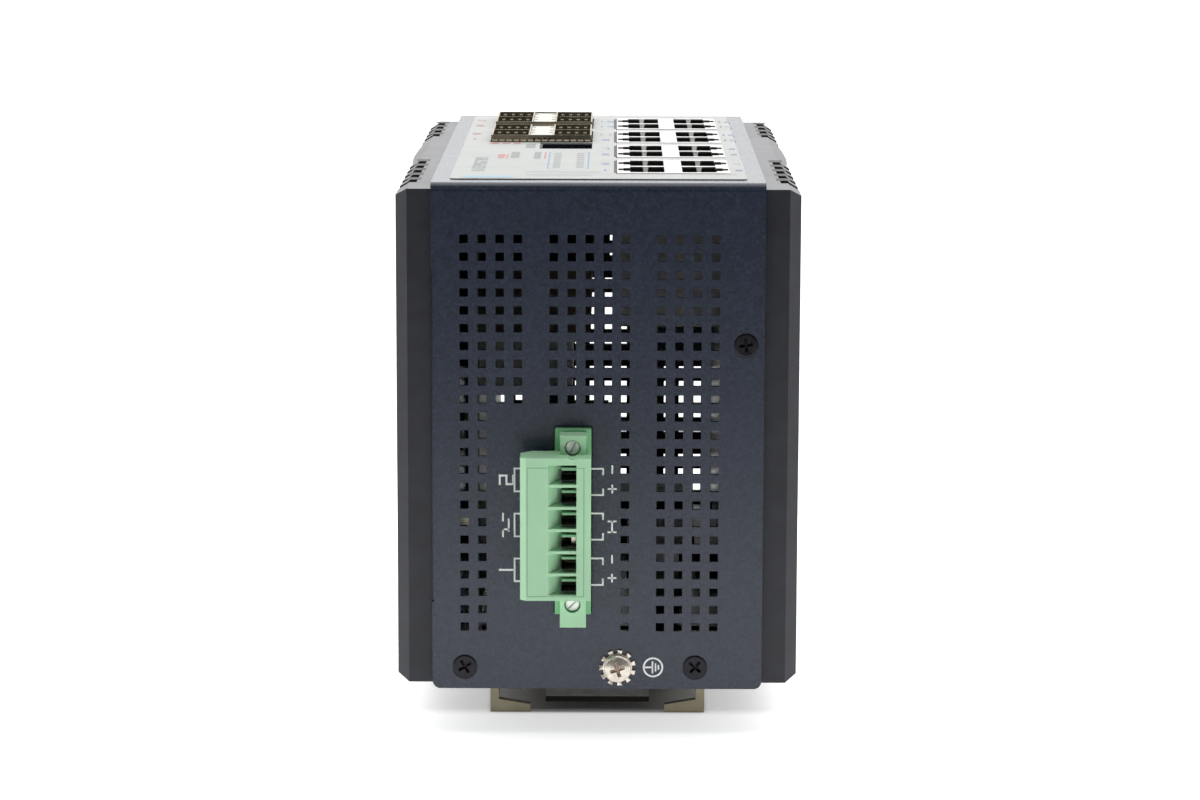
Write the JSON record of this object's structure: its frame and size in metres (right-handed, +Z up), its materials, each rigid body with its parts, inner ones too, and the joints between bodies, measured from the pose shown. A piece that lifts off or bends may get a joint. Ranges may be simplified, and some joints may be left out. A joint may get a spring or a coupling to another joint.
{
  "type": "din rail ethernet switch",
  "caption": "Network switch in a folded, perforated steel case with finned side walls, stacked jack blocks, module cages, a plug-in power terminal and a rail clip.",
  "frame": {"origin": "middle of the bottom of the overall box, in the plane that the clip stands on", "axes": "+Z up, from the rail clip to the port panel; +Y from the near perforated panel with the power terminal to the far one; +X to the right seen from the near panel"},
  "size_m": [0.0912, 0.18, 0.1274],
  "materials": {
    "case_paint": "fine textured powder coat",
    "heat_sink_finish": "satin black anodised",
    "film": "printed film, light grey",
    "guide": "clear light guide",
    "jack_metal": "bright tinned",
    "jack_plastic": "black",
    "cage_metal": "nickel plated, warm",
    "cage_strip_plastic": "cream",
    "board": "green solder mask",
    "chip": "black",
    "thermal_pad": "soft grey",
    "capacitor_can": "satin sleeve",
    "coil": "ferrite grey",
    "relay_case": "dark",
    "header_green": "green",
    "plug_green": "pale green",
    "contact_metal": "tinned",
    "screw_nickel": "nickel plated",
    "screw_black": "black oxide",
    "clip_zinc": "warm zinc plated",
    "spring_steel": "spring steel"
  },
  "bodies": {
    "root": {"main_shell": "case_paint", "chassis": "case_paint", "heat_sink_right": "heat_sink_finish", "heat_sink_left": "heat_sink_finish", "front_film": "film", "light_guides": "guide", "jack_shield_1": "jack_metal", "jack_shield_2": "jack_metal", "jack_shield_3": "jack_metal", "jack_shield_4": "jack_metal", "jack_housing_1": "jack_plastic", "jack_housing_2": "jack_plastic", "jack_housing_3": "jack_plastic", "jack_housing_4": "jack_plastic", "module_cage_1": "cage_metal", "module_cage_2": "cage_metal", "cage_strip_1": "cage_strip_plastic", "cage_strip_2": "cage_strip_plastic", "cage_gasket_1": "cage_metal", "cage_gasket_2": "cage_metal", "module_connectors_1": "jack_plastic", "module_connectors_2": "jack_plastic", "console_jack": "jack_plastic", "port_board": "board", "module_board": "board", "power_board": "board", "terminal_board": "board", "indicator_board": "board", "switch_chip": "chip", "fibre_chip": "chip", "thermal_pad_right": "thermal_pad", "thermal_pad_left": "thermal_pad", "port_phy_chips": "chip", "smoothing_capacitors": "capacitor_can", "module_capacitors": "capacitor_can", "inductors": "coil", "transformer": "coil", "alarm_relay": "relay_case", "power_link": "relay_case", "port_board_link": "relay_case", "module_board_link": "relay_case", "indicator_board_link": "relay_case", "terminal_header": "header_green", "terminal_plug": "plug_green", "header_pins": "contact_metal", "clamp_screws": "contact_metal", "plug_flange_screws": "screw_nickel", "case_screws": "screw_black", "ground_washer": "screw_nickel", "ground_screw": "screw_nickel", "port_board_standoffs": "contact_metal", "module_board_standoffs": "contact_metal", "power_board_standoffs": "contact_metal", "rail_clip": "clip_zinc", "clip_spring": "spring_steel", "clip_screws": "screw_nickel"}
  },
  "joints": []
}
